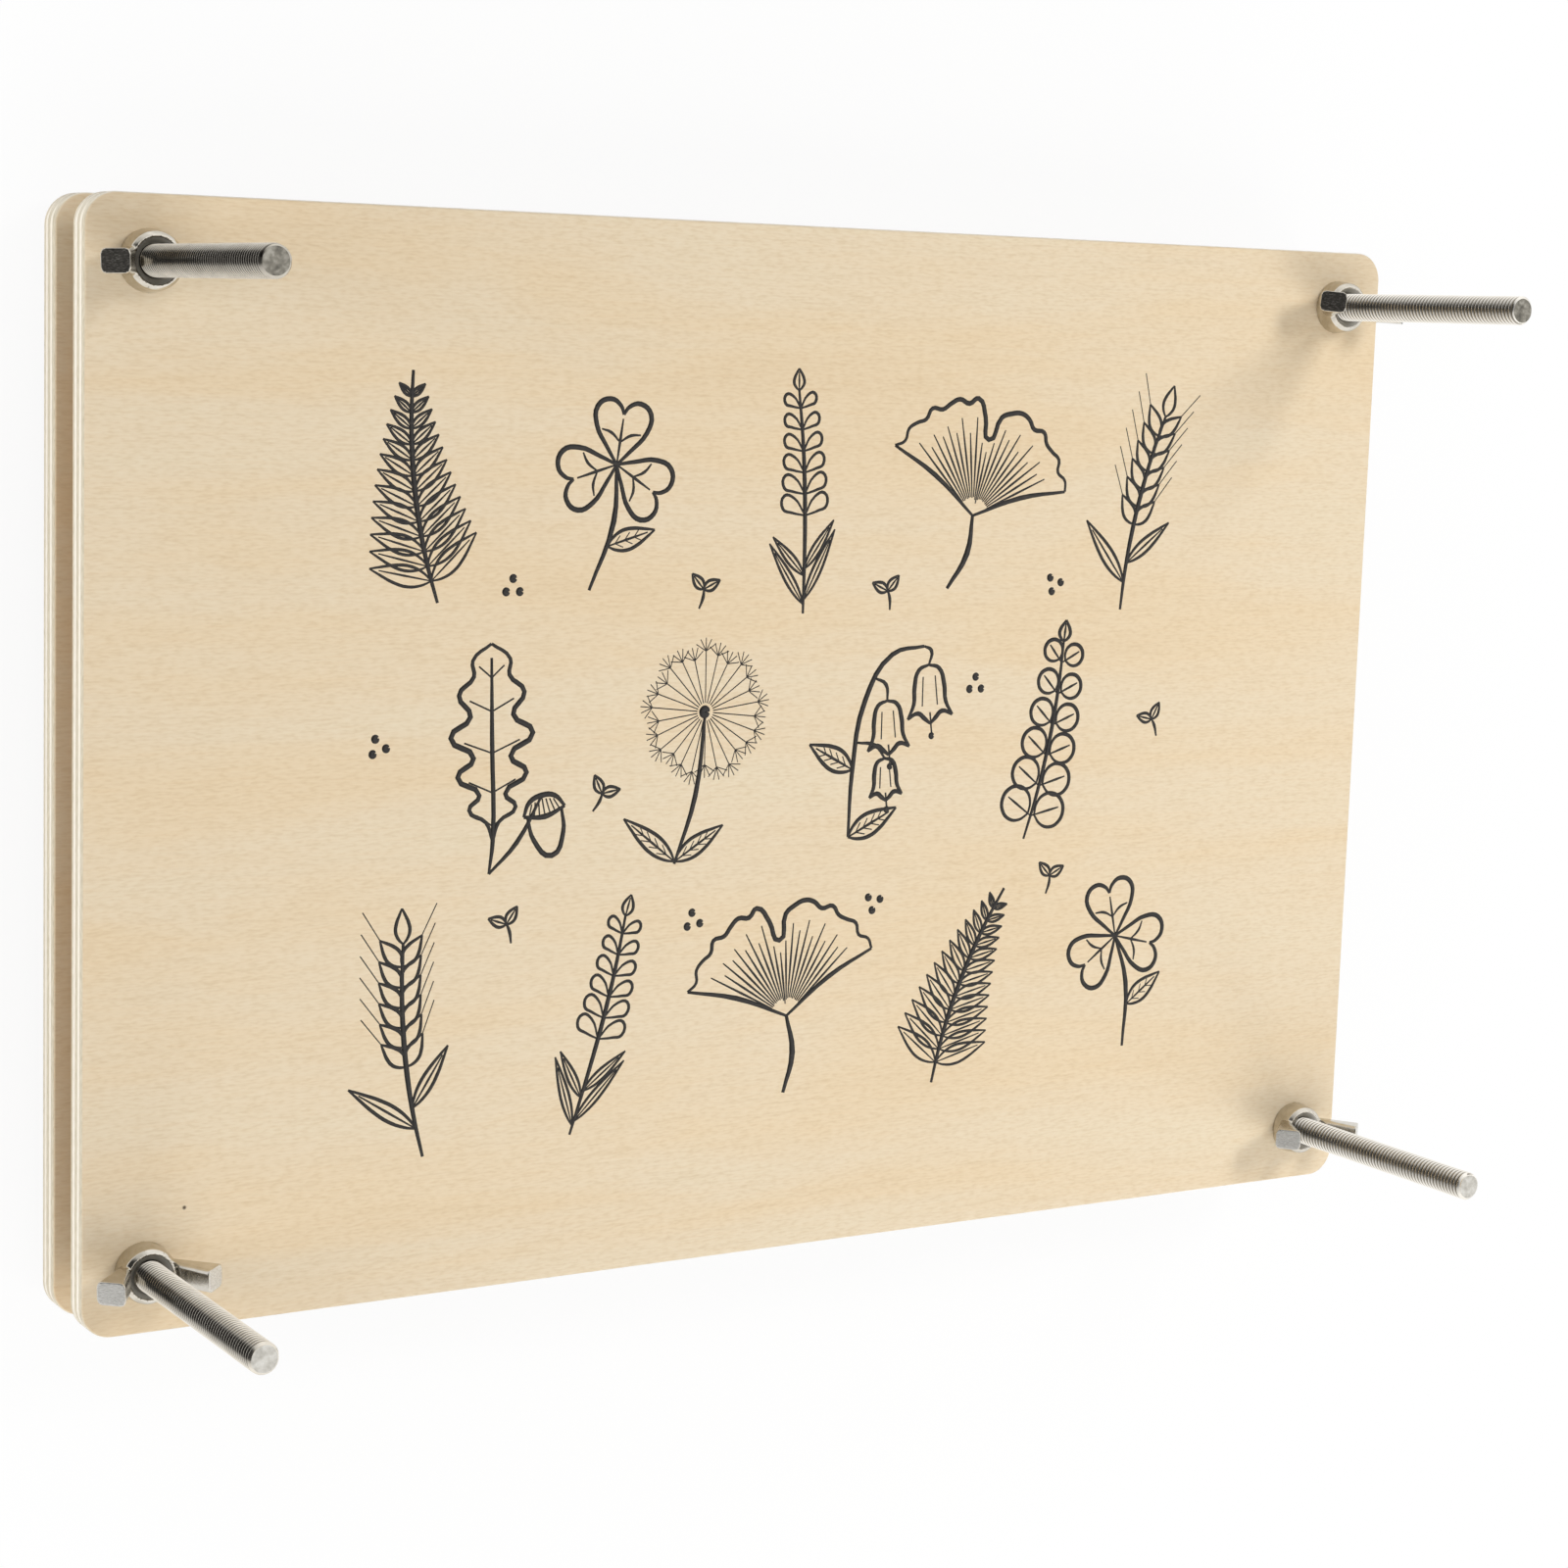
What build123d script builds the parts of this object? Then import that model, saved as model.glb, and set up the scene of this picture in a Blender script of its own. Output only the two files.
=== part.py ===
from build123d import *
import math
import os

# Flower press: two plywood boards drawn together over a drying stack by four bolts with wing nuts.
# The press lies flat on its four bolt heads, as in use, with X along the boards, Y across them and Z up.
# The origin is on the table, under the middle of the boards. All lengths are in millimetres.

# Plywood boards
board_length = 300.0
board_width = 210.0
board_thickness = 6.0
board_corner_radius = 6.0
board_arris_chamfer = 0.5

# Drying stack of corrugated cards with blotting paper between them
card_count = 4
card_thickness = 1.8
card_inset = 8.0
blotters_per_layer = 2
blotter_thickness = 0.4
blotter_inset = 10.0
sheet_bolt_gap = 1.0

# Carriage bolts, whose length is taken from under the head
bolt_diameter = 6.0
bolt_length = 80.0
bolt_inset = 12.0
bolt_tip_chamfer = 0.5
head_diameter = 16.5
head_crown_diameter = 5.0
head_slope_angle = 22.0
head_rim = 0.9
neck_width = 6.4
neck_length = 4.4

# Fits of the bolts in the boards
neck_clearance = 0.1
shank_clearance = 0.3

# Wing nuts: a conical hub with a chamfered rim, and two blades that flare upwards to flat cut tips
nut_running_clearance = 0.05
hub_base_diameter = 11.6
hub_rim_diameter = 10.6
hub_height = 4.6
hub_rim_chamfer = 0.8
countersink_depth = 1.2
wing_reach = 10.1
wing_rise = 10.7
wing_flare_angle = 46.0
wing_tip_depth = 5.8
wing_tip_thickness = 3.7
wing_length = 9.7
wing_root_offset = 1.3
wing_root_depth = 2.6
wing_root_thickness = 5.0
wing_edge_radius = 1.0

# How far each nut was turned by hand when it came tight, in degrees from level wings
nut_turn_angles = {"back_left": 2.0, "back_right": -6.0, "front_left": 1.5, "front_right": -2.0}

# Cuts run past the faces that they open by this much
cut_overrun = 1.0

# Sizes that follow from the ones above
bolt_radius = bolt_diameter / 2
bolt_span_x = board_length - 2 * bolt_inset
bolt_span_y = board_width - 2 * bolt_inset
head_radius = head_diameter / 2
head_slope = math.radians(head_slope_angle)
crown_radius = head_crown_diameter / 2
crown_edge_height = head_rim + (head_radius - crown_radius) * math.tan(head_slope)
head_height = crown_edge_height + crown_radius * math.tan(head_slope / 2)
bore_radius = bolt_radius + nut_running_clearance
hub_rim_radius = hub_rim_diameter / 2
hub_crest_radius = hub_rim_radius - hub_rim_chamfer

# Heights above the table
blotter_layers = card_count - 1
stack_thickness = card_count * card_thickness + blotter_layers * blotters_per_layer * blotter_thickness
base_underside = head_height
stack_base = base_underside + board_thickness
stack_top = stack_base + stack_thickness
top_face = stack_top + board_thickness

# Corner names with the side of the board that each lies on
corners = {
    "back_left": (-1, 1),
    "back_right": (1, 1),
    "front_left": (-1, -1),
    "front_right": (1, -1),
}


def bolt_places():
    """Name and place of each bolt, seen from above."""
    for name, (side_x, side_y) in corners.items():
        yield name, side_x * bolt_span_x / 2, side_y * bolt_span_y / 2


def board_blank():
    """Plywood panel with rounded corners and softened arrises, lying on its lower face."""
    panel = extrude(RectangleRounded(board_length, board_width, board_corner_radius), board_thickness)
    arrises = panel.faces().sort_by(Axis.Z)[0].edges() + panel.faces().sort_by(Axis.Z)[-1].edges()
    return chamfer(arrises, board_arris_chamfer)


def shank_holes():
    """Drill for the four round bolt shanks, long enough for one board."""
    drill = extrude(Circle(bolt_radius + shank_clearance), board_thickness + 2 * cut_overrun)
    return [Pos(x, y, -cut_overrun) * drill for _, x, y in bolt_places()]


def neck_seats():
    """Square seats in the base board, which keep the bolts from turning."""
    seat_width = neck_width + 2 * neck_clearance
    seat_depth = neck_length + neck_clearance + cut_overrun
    seat = extrude(Rectangle(seat_width, seat_width), seat_depth)
    return [Pos(x, y, -cut_overrun) * seat for _, x, y in bolt_places()]


def base_board():
    return Pos(0, 0, base_underside) * (board_blank() - shank_holes() - neck_seats())


def top_board():
    return Pos(0, 0, stack_top) * (board_blank() - shank_holes())


def drying_sheet(inset, thickness):
    """Sheet with its four corners cut off at 45 degrees to pass the bolts."""
    corner_cut = 2 * (bolt_inset - inset) + math.sqrt(2) * (bolt_radius + sheet_bolt_gap)
    outline = Rectangle(board_length - 2 * inset, board_width - 2 * inset)
    return extrude(chamfer(outline.vertices(), corner_cut), thickness)


def carriage_bolt():
    """Upright bolt, from its mushroom head below zero to its chamfered tip."""
    crown = TangentArc((0, -head_height), (crown_radius, -crown_edge_height), tangent=(1, 0))
    skirt = Polyline(
        (crown_radius, -crown_edge_height),
        (head_radius, -head_rim),
        (head_radius, 0),
        (0, 0),
        (0, -head_height),
    )
    head = revolve(Plane.XZ * make_face(crown + skirt), Axis.Z)
    neck = extrude(Rectangle(neck_width, neck_width), neck_length)
    shank = extrude(Circle(bolt_radius), bolt_length)
    shank = chamfer(shank.edges().sort_by(Axis.Z)[-1], bolt_tip_chamfer)
    return head + neck + shank


def wing():
    """One wing: a tapered blade with rounded edges, from its root in the hub to a deeper but thinner flat tip."""
    flare = math.radians(wing_flare_angle)
    tip = (wing_reach, 0, wing_rise)
    along_wing = Vector(math.cos(flare), 0, math.sin(flare))
    towards_bolt = Vector(-math.sin(flare), 0, math.cos(flare))
    seen_from_side = Plane(tip, x_dir=along_wing, z_dir=along_wing.cross(towards_bolt))
    seen_from_bolt = Plane(tip, x_dir=along_wing, z_dir=towards_bolt)
    side_outline = Polyline(
        (0, wing_tip_depth / 2),
        (-wing_length, wing_root_depth / 2 - wing_root_offset),
        (-wing_length, -wing_root_depth / 2 - wing_root_offset),
        (0, -wing_tip_depth / 2),
        close=True,
    )
    bolt_outline = Polyline(
        (0, wing_tip_thickness / 2),
        (-wing_length, wing_root_thickness / 2),
        (-wing_length, -wing_root_thickness / 2),
        (0, -wing_tip_thickness / 2),
        close=True,
    )
    blade = extrude(seen_from_side * make_face(side_outline), wing_root_thickness, both=True)
    blade &= extrude(seen_from_bolt * make_face(bolt_outline), wing_tip_depth, both=True)
    long_edges = blade.edges().filter_by(lambda edge: abs((edge % 0).dot(along_wing)) > 0.5)
    blade = fillet(long_edges, wing_edge_radius)
    crest_clearance = extrude(Circle((hub_crest_radius + hub_rim_radius) / 2), wing_rise + wing_tip_depth)
    return blade - crest_clearance


def wing_nut():
    """Nut seated at zero, with its wings along X and a countersunk mouth."""
    outline = Polyline(
        (bore_radius, 0),
        (hub_base_diameter / 2, 0),
        (hub_rim_radius, hub_height - hub_rim_chamfer),
        (hub_crest_radius, hub_height),
        (bore_radius, hub_height - countersink_depth),
        close=True,
    )
    hub = revolve(Plane.XZ * make_face(outline), Axis.Z)
    right_wing = wing()
    return hub + right_wing + right_wing.mirror(Plane.YZ)


def drying_stack():
    """Name and solid of each sheet from the base board up, cards outermost."""
    height = stack_base
    blotter_number = 0
    for card_number in range(1, card_count + 1):
        card = drying_sheet(card_inset, card_thickness)
        yield f"corrugated_card_{card_number}", Pos(0, 0, height) * card
        height += card_thickness
        if card_number < card_count:
            for _ in range(blotters_per_layer):
                blotter_number += 1
                blotter = drying_sheet(blotter_inset, blotter_thickness)
                yield f"blotting_paper_{blotter_number}", Pos(0, 0, height) * blotter
                height += blotter_thickness


def assembled_pieces():
    """Every piece of the press in its place, by name."""
    pieces = {"base_board": base_board(), "top_board": top_board()}
    pieces.update(drying_stack())
    bolt = carriage_bolt()
    nut = wing_nut()
    for name, x, y in bolt_places():
        pieces[f"carriage_bolt_{name}"] = Pos(x, y, base_underside) * bolt
        turn = Rot(0, 0, nut_turn_angles[name])
        pieces[f"wing_nut_{name}"] = Pos(x, y, top_face) * turn * nut
    return pieces


os.makedirs("parts", exist_ok=True)
for node_name, piece in assembled_pieces().items():
    export_step(piece, f"parts/{node_name}.step")
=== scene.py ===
import math

import bmesh
import bpy
from mathutils import Matrix, Vector


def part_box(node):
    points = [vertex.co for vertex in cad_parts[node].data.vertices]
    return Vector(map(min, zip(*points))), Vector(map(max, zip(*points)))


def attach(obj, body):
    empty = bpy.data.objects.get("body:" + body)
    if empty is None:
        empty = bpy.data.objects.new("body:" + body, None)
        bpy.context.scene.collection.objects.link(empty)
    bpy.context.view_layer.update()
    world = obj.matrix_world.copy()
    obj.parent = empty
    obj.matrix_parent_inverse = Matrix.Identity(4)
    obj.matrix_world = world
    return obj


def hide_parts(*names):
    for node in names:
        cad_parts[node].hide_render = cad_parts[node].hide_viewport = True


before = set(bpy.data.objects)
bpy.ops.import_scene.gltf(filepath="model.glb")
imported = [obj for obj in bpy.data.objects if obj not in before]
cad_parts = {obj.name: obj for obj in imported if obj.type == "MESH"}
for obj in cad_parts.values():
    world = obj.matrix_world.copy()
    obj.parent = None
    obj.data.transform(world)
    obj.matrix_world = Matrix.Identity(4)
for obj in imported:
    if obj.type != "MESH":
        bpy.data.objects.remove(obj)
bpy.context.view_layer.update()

# Lengths are in metres, and a size in millimetres is written as a number times mm.
mm = 0.001

# Doubled corners are merged, and edges and faces picked by their place, within these distances
merge_distance = 0.001 * mm
tolerance = 0.01 * mm

# Plywood boards
board_corner_radius = 6 * mm
board_corner_steps = 12
board_arris_radius = 0.5 * mm
board_arris_steps = 4
board_plies = 5
pin_knot_place = (-130 * mm, -81.7 * mm, 0)
pin_knot_radius = 0.35 * mm
shank_hole_radius = 3.3 * mm
shank_hole_steps = 48
neck_clearance = 0.1 * mm
cut_overrun = 1 * mm

# Carriage bolts with an M6 thread
thread_pitch = 1 * mm
thread_crest_radius = 2.98 * mm
thread_root_radius = 2.42 * mm
thread_crest_rounding = 0.06 * mm
thread_steps = 36
trimmer_share = 1.1
tip_chamfer = 0.4 * mm
tip_edge_rise = 0.15 * mm
tip_edge_inset = 0.1 * mm
bolt_end_cosine = 0.9
head_radius = 8.25 * mm
head_dome_height = 2.81 * mm
head_height = 3.709 * mm
head_edge_rounding = 0.15 * mm
dome_steps = 12
turning_steps = 64
neck_width = 6.4 * mm
neck_length = 4.4 * mm
neck_sink = 0.3 * mm
neck_edge_rounding = 0.35 * mm
bolt_turns = {"back_left": 25, "back_right": 140, "front_left": 250, "front_right": 310}
corners = list(bolt_turns)

# Wing nuts, turned as far as each came tight
nut_turns = {"back_left": 2, "back_right": -6, "front_left": 1.5, "front_right": -2}
nut_grain = 0.17 * mm
nut_smoothing_rounds = 8
wing_flare_angle = 46
wing_tip_reach = 10.1 * mm
wing_tip_rise = 10.7 * mm
wing_tip_margin = 0.12 * mm
wing_tip_cosine = 0.96
wing_tip_spread_share = 1.2
wing_outer_share = 0.7
wing_dull_share = 0.4
inner_from_cosine = 0.3
inner_full_cosine = 0.8
hub_height = 4.6 * mm
mouth_radius = 4.3 * mm
mouth_depth = 1.6 * mm

# Drying stack
card_corner_cut = 13.657 * mm
blotter_corner_cut = 9.657 * mm
liner_thickness = 0.22 * mm
flute_thickness = 0.18 * mm
flute_pitch = 3.23 * mm
flute_steps = 8
blotter_edge_rounding = 0.12 * mm

# Ink of the print on the top board, whose strokes are finer at their ends
ink_relief_share = 0.05
pen_share = 1.3
pen_end_share = 0.55

# Relief of the finishes, from pit to peak
veneer_relief = 0.05 * mm
casting_relief = 0.1 * mm
scratch_relief = 0.15 * mm
plate_relief = 0.02 * mm
shear_relief = 0.1 * mm
kraft_relief = 0.1 * mm
felt_relief = 0.08 * mm

# Floor, which shows its own shading near the object and fades to white farther away
floor_size = 8
floor_drop = 0.1 * mm
shadow_near = 0.15
shadow_far = 0.25

# Light: place, width, height and watts of each lamp. Three are soft boxes, the back right one strongest,
# and the last is a low strip that faces the left edges.
lamps = (((0.5, 0.45, 0.7), 0.3, 0.3, 3.3), ((0.1, -0.7, 0.6), 0.8, 0.8, 3.2),
         ((0.55, -0.5, 0.6), 0.5, 0.5, 1.9), ((-0.9, 0.05, 0.22), 0.4, 0.15, 3.3))
lamp_target = Vector((0, 0, 20 * mm))
fill_level = 0.36

# Room that metal mirrors: its dark side, and its brightness at each step towards that side
dark_side = (-0.75, 0.3, 0.59)
room_levels = ((0.3, 1.2), (0.6, 0.9), (0.8, 0.65), (0.88, 0.2), (0.93, 0.05))

# Camera, above and to the left, turned so that the board's back edge is at the top
camera_place = (-0.3521, 0.0854, 0.5968)
camera_sight = Vector((0.51794, -0.13718, -0.84435))
camera_upright = Vector((0.04423, 0.99003, -0.13372))
camera_lens = 76.2
camera_sensor = 36
camera_near = 10 * mm


def only(*pieces):
    """Selects these pieces alone, the last of them active."""
    bpy.ops.object.select_all(action="DESELECT")
    for piece in pieces:
        piece.select_set(True)
    bpy.context.view_layer.objects.active = pieces[-1]


def pick(piece, kind, wanted):
    """Opens a piece for editing with only its wanted corners, edges or faces selected."""
    only(piece)
    bpy.ops.object.mode_set(mode="EDIT")
    bpy.ops.mesh.select_mode(type=kind)
    bpy.ops.mesh.select_all(action="DESELECT")
    mesh = bmesh.from_edit_mesh(piece.data)
    for part in {"VERT": mesh.verts, "EDGE": mesh.edges, "FACE": mesh.faces}[kind]:
        if wanted(part):
            part.select_set(True)
    mesh.select_flush_mode()
    bmesh.update_edit_mesh(piece.data)


def close_edit():
    bpy.ops.object.mode_set(mode="OBJECT")


def apply_modifier(piece, kind, **settings):
    """Adds a modifier with these settings and applies it."""
    only(piece)
    modifier = piece.modifiers.new(kind.lower(), kind)
    for name, value in settings.items():
        setattr(modifier, name, value)
    bpy.ops.object.modifier_apply(modifier=modifier.name)


def tidy_shell(piece):
    """Merges doubled corners and turns every face outwards."""
    pick(piece, "VERT", lambda corner: True)
    bpy.ops.mesh.remove_doubles(threshold=merge_distance)
    bpy.ops.mesh.select_all(action="SELECT")
    bpy.ops.mesh.normals_make_consistent(inside=False)
    close_edit()


def smooth(piece, angle):
    only(piece)
    bpy.ops.object.shade_smooth_by_angle(angle=math.radians(angle))


def clamped(value):
    return min(max(value, 0), 1)


def block(name, low, high):
    """Adds a block between two corners, with its place in its mesh."""
    bpy.ops.object.select_all(action="DESELECT")
    bpy.ops.mesh.primitive_cube_add(size=1, location=(low + high) / 2, scale=high - low)
    piece = bpy.context.object
    piece.name = name
    bpy.ops.object.transform_apply(location=True, rotation=True, scale=True)
    return piece


def drawn_line(name, points):
    """Starts a piece as a line through points, extruded from a single corner."""
    bpy.ops.object.select_all(action="DESELECT")
    bpy.ops.mesh.primitive_plane_add(size=mm)
    piece = bpy.context.object
    piece.name = name
    bpy.ops.object.mode_set(mode="EDIT")
    bpy.ops.mesh.select_mode(type="VERT")
    bpy.ops.mesh.select_all(action="SELECT")
    bpy.ops.mesh.merge(type="CENTER")
    bpy.ops.transform.translate(value=points[0])
    for here, there in zip(points, points[1:]):
        bpy.ops.mesh.extrude_vertices_move(TRANSFORM_OT_translate={"value": there - here})
    close_edit()
    return piece


def spun(name, outline, steps, pitch=0.0, turns=1):
    """Turns an outline of (radius, height) points round the Z axis, climbing by a pitch for a thread."""
    piece = drawn_line(name, [Vector((radius, 0, height)) for radius, height in outline])
    apply_modifier(piece, "SCREW", axis="Z", angle=math.tau, steps=steps, render_steps=steps,
                   screw_offset=pitch, iterations=turns)
    tidy_shell(piece)
    return piece


def cut(piece, tool, operation):
    """Cuts or trims a piece by another, which is used up."""
    apply_modifier(piece, "BOOLEAN", operation=operation, solver="EXACT", object=tool)
    bpy.data.objects.remove(tool)


def joined(*pieces):
    """Joins pieces to the last of them."""
    only(*pieces)
    bpy.ops.object.join()
    return pieces[-1]


def copied(piece, name, place):
    """Copies a piece with a mesh of its own, moved by a matrix in the mesh."""
    twin = piece.copy()
    twin.data = piece.data.copy()
    twin.name = name
    bpy.context.scene.collection.objects.link(twin)
    twin.data.transform(place)
    return twin


def linear(code, alpha=1.0):
    """Turns an sRGB hex colour to the linear values that shaders take."""
    channels = [int(code[i:i + 2], 16) / 255 for i in (1, 3, 5)]
    curve = [c / 12.92 if c <= 0.04045 else ((c + 0.055) / 1.055) ** 2.4 for c in channels]
    return (*curve, alpha)


def cells(x, y, z):
    """Pattern scale that makes one cell this many millimetres long on each axis."""
    return (1 / (x * mm), 1 / (y * mm), 1 / (z * mm))


def add(tree, kind, sockets=None, stops=None, **settings):
    """Adds a node with its settings; a socket takes a plain value or another node's output."""
    node = tree.nodes.new(kind)
    for name, value in settings.items():
        setattr(node, name, value)
    for key, value in (sockets or {}).items():
        if isinstance(value, bpy.types.NodeSocket):
            tree.links.new(value, node.inputs[key])
        else:
            node.inputs[key].default_value = value
    if stops:
        ramp = node.color_ramp.elements
        ramp.remove(ramp[-1])
        ramp[0].position, ramp[0].color = stops[0]
        for place, colour in stops[1:]:
            ramp.new(place).color = colour
    return node


def material(name, **even_values):
    """Starts a material; values that are the same all over are set on the shader itself."""
    made = bpy.data.materials.new(name)
    made.use_nodes = True
    shader = made.node_tree.nodes["Principled BSDF"]
    for socket, value in even_values.items():
        shader.inputs[socket.replace("_", " ")].default_value = value
    return made, made.node_tree, shader


def birch_plywood(name, low, high):
    """Birch plywood, rotary cut and sanded: a pale creamy face with soft warm bands and short flecks along X.
    At the edges five crossed plies show, pale along the grain and greyer across it, with thin glue lines."""
    made, tree, shader = material(name)
    shader.inputs["Specular IOR Level"].default_value = 0.3
    where = add(tree, "ShaderNodeTexCoord")
    at = where.outputs["Object"]
    facing = add(tree, "ShaderNodeSeparateXYZ", {0: where.outputs["Normal"]})
    across_x = add(tree, "ShaderNodeMath", {0: facing.outputs["X"]}, operation="ABSOLUTE").outputs[0]
    across_y = add(tree, "ShaderNodeMath", {0: facing.outputs["Y"]}, operation="ABSOLUTE").outputs[0]
    upward = add(tree, "ShaderNodeMath", {0: facing.outputs["Z"]}, operation="ABSOLUTE").outputs[0]
    on_face = add(tree, "ShaderNodeMapRange", {"Value": upward, "From Min": 0.6, "From Max": 0.9}).outputs[0]
    slant = add(tree, "ShaderNodeMath", {0: across_x, 1: across_y}, operation="SUBTRACT").outputs[0]
    on_end = add(tree, "ShaderNodeMapRange", {"Value": slant, "From Min": -0.8, "From Max": 0.8}).outputs[0]

    # Face veneer: bands some 20 mm wide, faint streaks about 1 mm wide and flecks under 2 mm long.
    # Real flecks are as fine as a hair, too fine to show, so they are drawn 0.45 mm wide.
    band_at = add(tree, "ShaderNodeMapping", {"Vector": at, "Scale": cells(130, 20, 20)}).outputs[0]
    band = add(tree, "ShaderNodeTexNoise", {"Vector": band_at, "Scale": 1.0, "Detail": 3.0, "Roughness": 0.55,
                                            "Distortion": 0.4}).outputs["Fac"]
    streak_at = add(tree, "ShaderNodeMapping", {"Vector": at, "Scale": cells(16, 0.9, 0.9)}).outputs[0]
    streak = add(tree, "ShaderNodeTexNoise", {"Vector": streak_at, "Scale": 1.0, "Detail": 3.0,
                                              "Roughness": 0.6}).outputs["Fac"]
    fleck_at = add(tree, "ShaderNodeMapping", {"Vector": at, "Scale": cells(1.8, 0.45, 0.45)}).outputs[0]
    fleck = add(tree, "ShaderNodeTexNoise", {"Vector": fleck_at, "Scale": 1.0, "Detail": 1.0}).outputs["Fac"]
    face = add(tree, "ShaderNodeValToRGB", {0: band}, stops=[
        (0.28, linear("#EADBC0")), (0.45, linear("#EAD9BD")),
        (0.6, linear("#EAD6B6")), (0.75, linear("#E7D2B1"))])
    streak_tone = add(tree, "ShaderNodeValToRGB", {0: streak}, stops=[
        (0.3, linear("#F1E9DC")), (0.5, linear("#FFFFFF")), (0.7, linear("#FAF3E8"))])
    streaked = add(tree, "ShaderNodeMix", {0: 0.35, 6: face.outputs[0], 7: streak_tone.outputs[0]},
                   data_type="RGBA", blend_type="MULTIPLY")
    fleck_tone = add(tree, "ShaderNodeValToRGB", {0: fleck}, stops=[
        (0.28, linear("#E9DDC8")), (0.5, linear("#F9F5EE")), (0.72, linear("#FFFFFF"))])
    veneer = add(tree, "ShaderNodeMix", {0: 0.4, 6: streaked.outputs[2], 7: fleck_tone.outputs[0]},
                 data_type="RGBA", blend_type="MULTIPLY")

    # One dark pin knot with a soft edge
    flat = add(tree, "ShaderNodeVectorMath", {0: at, 1: (1, 1, 0)}, operation="MULTIPLY").outputs[0]
    off_knot = add(tree, "ShaderNodeVectorMath", {0: flat, 1: pin_knot_place}, operation="DISTANCE")
    knot = add(tree, "ShaderNodeMapRange", {
        "Value": off_knot.outputs["Value"], "From Min": 0.6 * pin_knot_radius,
        "From Max": 1.4 * pin_knot_radius, "To Min": 0.9, "To Max": 0.0}).outputs[0]
    veneer = add(tree, "ShaderNodeMix", {0: knot, 6: veneer.outputs[2], 7: linear("#3B2A1C")},
                 data_type="RGBA")

    # Edges: each ply is a fifth of the thickness, and its grain crosses its neighbours'
    height = add(tree, "ShaderNodeSeparateXYZ", {0: at}).outputs["Z"]
    ply = add(tree, "ShaderNodeMapRange", {"Value": height, "From Min": low, "From Max": high,
                                           "To Max": board_plies}, clamp=False).outputs[0]
    parity = add(tree, "ShaderNodeMath", {0: ply, 1: 2.0}, operation="FLOORED_MODULO").outputs[0]
    core_ply = add(tree, "ShaderNodeMath", {0: parity, 1: 1.0}, operation="GREATER_THAN").outputs[0]
    end_grain = add(tree, "ShaderNodeMath", {0: core_ply, 1: on_end}, operation="SUBTRACT")
    end_grain = add(tree, "ShaderNodeMath", {0: end_grain.outputs[0]}, operation="ABSOLUTE").outputs[0]
    fibre_at = add(tree, "ShaderNodeMapping", {"Vector": at, "Scale": cells(1.6, 1.6, 0.22)}).outputs[0]
    fibre = add(tree, "ShaderNodeTexNoise", {"Vector": fibre_at, "Scale": 1.0, "Detail": 2.0}).outputs["Fac"]
    long_tone = add(tree, "ShaderNodeValToRGB", {0: fibre}, stops=[
        (0.3, linear("#EDE4D2")), (0.6, linear("#F8F2E6"))])
    end_tone = add(tree, "ShaderNodeValToRGB", {0: fibre}, stops=[
        (0.3, linear("#C6BBA4")), (0.65, linear("#DED4BF"))])
    plies = add(tree, "ShaderNodeMix", {0: end_grain, 6: long_tone.outputs[0], 7: end_tone.outputs[0]},
                data_type="RGBA")
    within = add(tree, "ShaderNodeMath", {0: ply}, operation="FRACT").outputs[0]
    off_joint = add(tree, "ShaderNodeMath", {0: within, 1: 0.5}, operation="SUBTRACT")
    off_joint = add(tree, "ShaderNodeMath", {0: off_joint.outputs[0]}, operation="ABSOLUTE").outputs[0]
    glue = add(tree, "ShaderNodeMapRange", {"Value": off_joint, "From Min": 0.42, "From Max": 0.49,
                                            "To Max": 0.55}).outputs[0]
    edge = add(tree, "ShaderNodeMix", {0: glue, 6: plies.outputs[2], 7: linear("#8F7F60")}, data_type="RGBA")
    colour = add(tree, "ShaderNodeMix", {0: on_face, 6: edge.outputs[2], 7: veneer.outputs[2]},
                 data_type="RGBA")
    tree.links.new(colour.outputs[2], shader.inputs["Base Color"])

    sheen = add(tree, "ShaderNodeMapRange", {"Value": streak, "To Min": 0.52, "To Max": 0.7}).outputs[0]
    tree.links.new(sheen, shader.inputs["Roughness"])
    grain = add(tree, "ShaderNodeMath", {0: streak, 1: fleck}, operation="ADD").outputs[0]
    bump = add(tree, "ShaderNodeBump", {"Strength": 0.1, "Distance": veneer_relief, "Height": grain})
    tree.links.new(bump.outputs[0], shader.inputs["Normal"])
    return made


def printing_ink():
    """Screen-printed black ink: near black, matt, a little thin where the wood's pores drank it."""
    made, tree, shader = material("screen_ink", Roughness=0.6)
    at = add(tree, "ShaderNodeTexCoord").outputs["Object"]
    pore_at = add(tree, "ShaderNodeMapping", {"Vector": at, "Scale": cells(3.0, 0.4, 0.4)}).outputs[0]
    pore = add(tree, "ShaderNodeTexNoise", {"Vector": pore_at, "Scale": 1.0, "Detail": 2.0}).outputs["Fac"]
    tone = add(tree, "ShaderNodeValToRGB", {0: pore}, stops=[
        (0.35, linear("#1B1917")), (0.6, linear("#24211E")), (0.8, linear("#3C3630"))])
    tree.links.new(tone.outputs[0], shader.inputs["Base Color"])
    return made


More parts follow.
